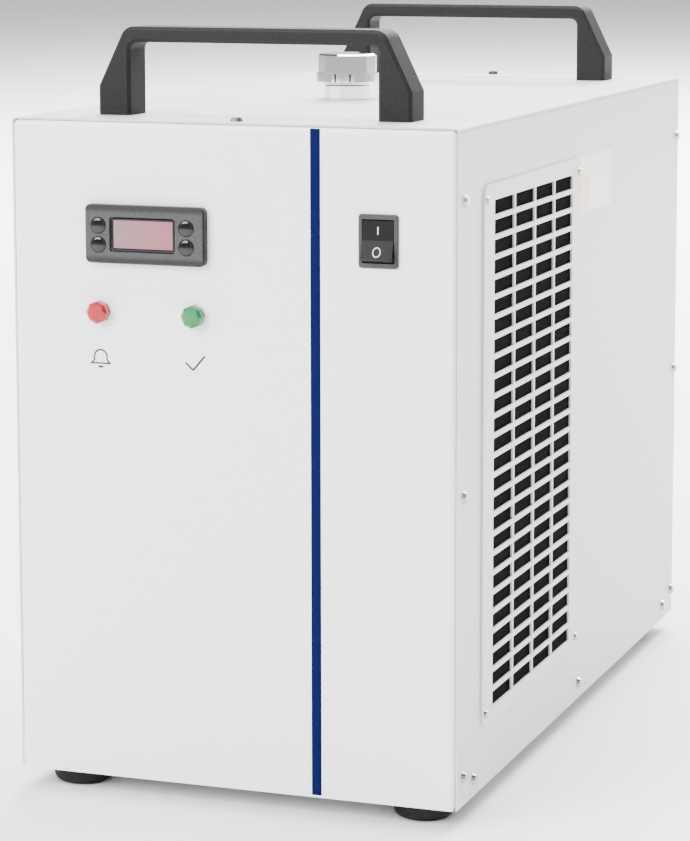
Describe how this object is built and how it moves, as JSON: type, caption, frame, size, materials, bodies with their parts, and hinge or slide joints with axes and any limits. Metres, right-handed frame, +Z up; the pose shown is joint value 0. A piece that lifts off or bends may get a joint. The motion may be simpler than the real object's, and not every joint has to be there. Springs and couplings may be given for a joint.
{
  "type": "recirculating chiller",
  "caption": "Recirculating water chiller: white sheet-metal cabinet with carrying handles, controller, side grilles, filler cap, fan and rear water fittings.",
  "frame": {"origin": "middle of the whole part's footprint, on the floor under the feet", "axes": "+X to the right seen from the front, +Y to the back, +Z up"},
  "size_m": [0.2962, 0.5855, 0.4805],
  "materials": {
    "white_panel": "semi-gloss powder coat",
    "white_cover": "satin powder coat",
    "tray_steel": "satin powder coat",
    "filter_mesh": "black woven mesh",
    "handle_plastic": "fine grained, charcoal",
    "chromed": "polished",
    "dark_plastic": "fine grained",
    "bezel_plastic": "fine grained",
    "window_plastic": "clear tinted, glossy",
    "button_plastic": "glossy",
    "red_lens": "translucent red",
    "green_lens": "translucent green",
    "rubber_black": "matt",
    "zinc_steel": "zinc plated",
    "aluminium_fins": "rolled fins",
    "copper": "drawn copper tube",
    "compressor_paint": "gloss black enamel",
    "tank_plastic": "moulded, milky white",
    "foam_jacket": "closed-cell foam",
    "pump_paint": "blue enamel",
    "brass_fitting": "machined",
    "gauge_plastic": "white",
    "gauge_clear": "clear",
    "capacitor_metal": "drawn can",
    "terminal_plastic": "ivory moulded"
  },
  "bodies": {
    "cabinet": {"base_tray": "tray_steel", "front_panel": "white_panel", "rear_panel": "white_cover", "wrap_cover": "white_cover", "right_grille": "white_cover", "left_grille": "white_cover", "right_filter": "filter_mesh", "left_filter": "filter_mesh", "front_handle": "handle_plastic", "rear_handle": "handle_plastic", "filler_neck": "chromed", "controller_bezel": "bezel_plastic", "controller_case": "dark_plastic", "controller_clamps": "dark_plastic", "display_window": "window_plastic", "rocker_frame": "dark_plastic", "alarm_lens": "red_lens", "normal_lens": "green_lens", "lamp_bodies": "dark_plastic", "foot_front_left": "rubber_black", "foot_front_right": "rubber_black", "foot_rear_left": "rubber_black", "foot_rear_right": "rubber_black", "bolts": "zinc_steel", "fan_shroud": "dark_plastic", "fan_motor": "zinc_steel", "fan_guard": "chromed", "tank_shelf": "zinc_steel", "water_tank": "tank_plastic", "condenser": "aluminium_fins", "copper_pipes": "copper", "compressor": "compressor_paint", "compressor_mounts": "rubber_black", "heat_exchanger": "foam_jacket", "filter_drier": "copper", "pump": "pump_paint", "brackets": "zinc_steel", "power_relay": "dark_plastic", "run_capacitor": "capacitor_metal", "terminal_block": "terminal_plastic", "water_outlet": "brass_fitting", "water_return": "brass_fitting", "gauge_frame": "gauge_plastic", "gauge_tube": "gauge_clear", "power_inlet": "dark_plastic", "alarm_connector": "chromed", "drain_fitting": "brass_fitting", "cabinet_screws": "chromed"},
    "rocker": {"rocker": "button_plastic"},
    "button_up_left": {"button_up_left": "button_plastic"},
    "button_down_left": {"button_down_left": "button_plastic"},
    "button_up_right": {"button_up_right": "button_plastic"},
    "button_down_right": {"button_down_right": "button_plastic"},
    "cap_gasket": {"filler_gasket": "rubber_black"},
    "filler_cap": {"filler_cap": "chromed"},
    "fan_rotor": {"fan_rotor": "dark_plastic"},
    "fuse_drawer": {"fuse_drawer": "dark_plastic"},
    "drain_washer": {"drain_washer": "rubber_black"},
    "drain_cap": {"drain_cap": "brass_fitting"}
  },
  "joints": [
    {"name": "power_rocker", "type": "hinge", "parent": "cabinet", "child": "rocker", "pos_m": [0.0957, -0.2848, 0.3576], "axis": [1, 0, 0], "range_deg": [0, 22]},
    {"name": "press_up_left", "type": "slide", "parent": "cabinet", "child": "button_up_left", "axis": [0, 1, 0], "range_m": [0, 0.0008], "stiffness_N_per_m": 900, "springref_m": -0.0004},
    {"name": "press_down_left", "type": "slide", "parent": "cabinet", "child": "button_down_left", "axis": [0, 1, 0], "range_m": [0, 0.0008], "stiffness_N_per_m": 900, "springref_m": -0.0004},
    {"name": "press_up_right", "type": "slide", "parent": "cabinet", "child": "button_up_right", "axis": [0, 1, 0], "range_m": [0, 0.0008], "stiffness_N_per_m": 900, "springref_m": -0.0004},
    {"name": "press_down_right", "type": "slide", "parent": "cabinet", "child": "button_down_right", "axis": [0, 1, 0], "range_m": [0, 0.0008], "stiffness_N_per_m": 900, "springref_m": -0.0004},
    {"name": "cap_lift", "type": "slide", "parent": "cabinet", "child": "cap_gasket", "axis": [0, 0, 1], "range_m": [0, 0.014]},
    {"name": "cap_turn", "type": "hinge", "parent": "cap_gasket", "child": "filler_cap", "pos_m": [-0.009, -0.052, 0.4355], "axis": [0, 0, 1], "range_deg": [0, 1440]},
    {"name": "fan_spin", "type": "hinge", "parent": "cabinet", "child": "fan_rotor", "pos_m": [-0.02, 0.24, 0.147], "axis": [0, 1, 0], "continuous": true},
    {"name": "fuse_drawer_slide", "type": "slide", "parent": "cabinet", "child": "fuse_drawer", "axis": [0, 1, 0], "range_m": [0, 0.014]},
    {"name": "drain_lift", "type": "slide", "parent": "cabinet", "child": "drain_washer", "axis": [0, 1, 0], "range_m": [0, 0.0128]},
    {"name": "drain_turn", "type": "hinge", "parent": "drain_washer", "child": "drain_cap", "pos_m": [0.117, 0.27, 0.055], "axis": [0, -1, 0], "range_deg": [-1440, 0]}
  ],
  "couplings": [
    {"joint": "cap_lift", "follows": "cap_turn", "m_per_rad": 0.00055704},
    {"joint": "drain_lift", "follows": "drain_turn", "m_per_rad": -0.0005093}
  ]
}
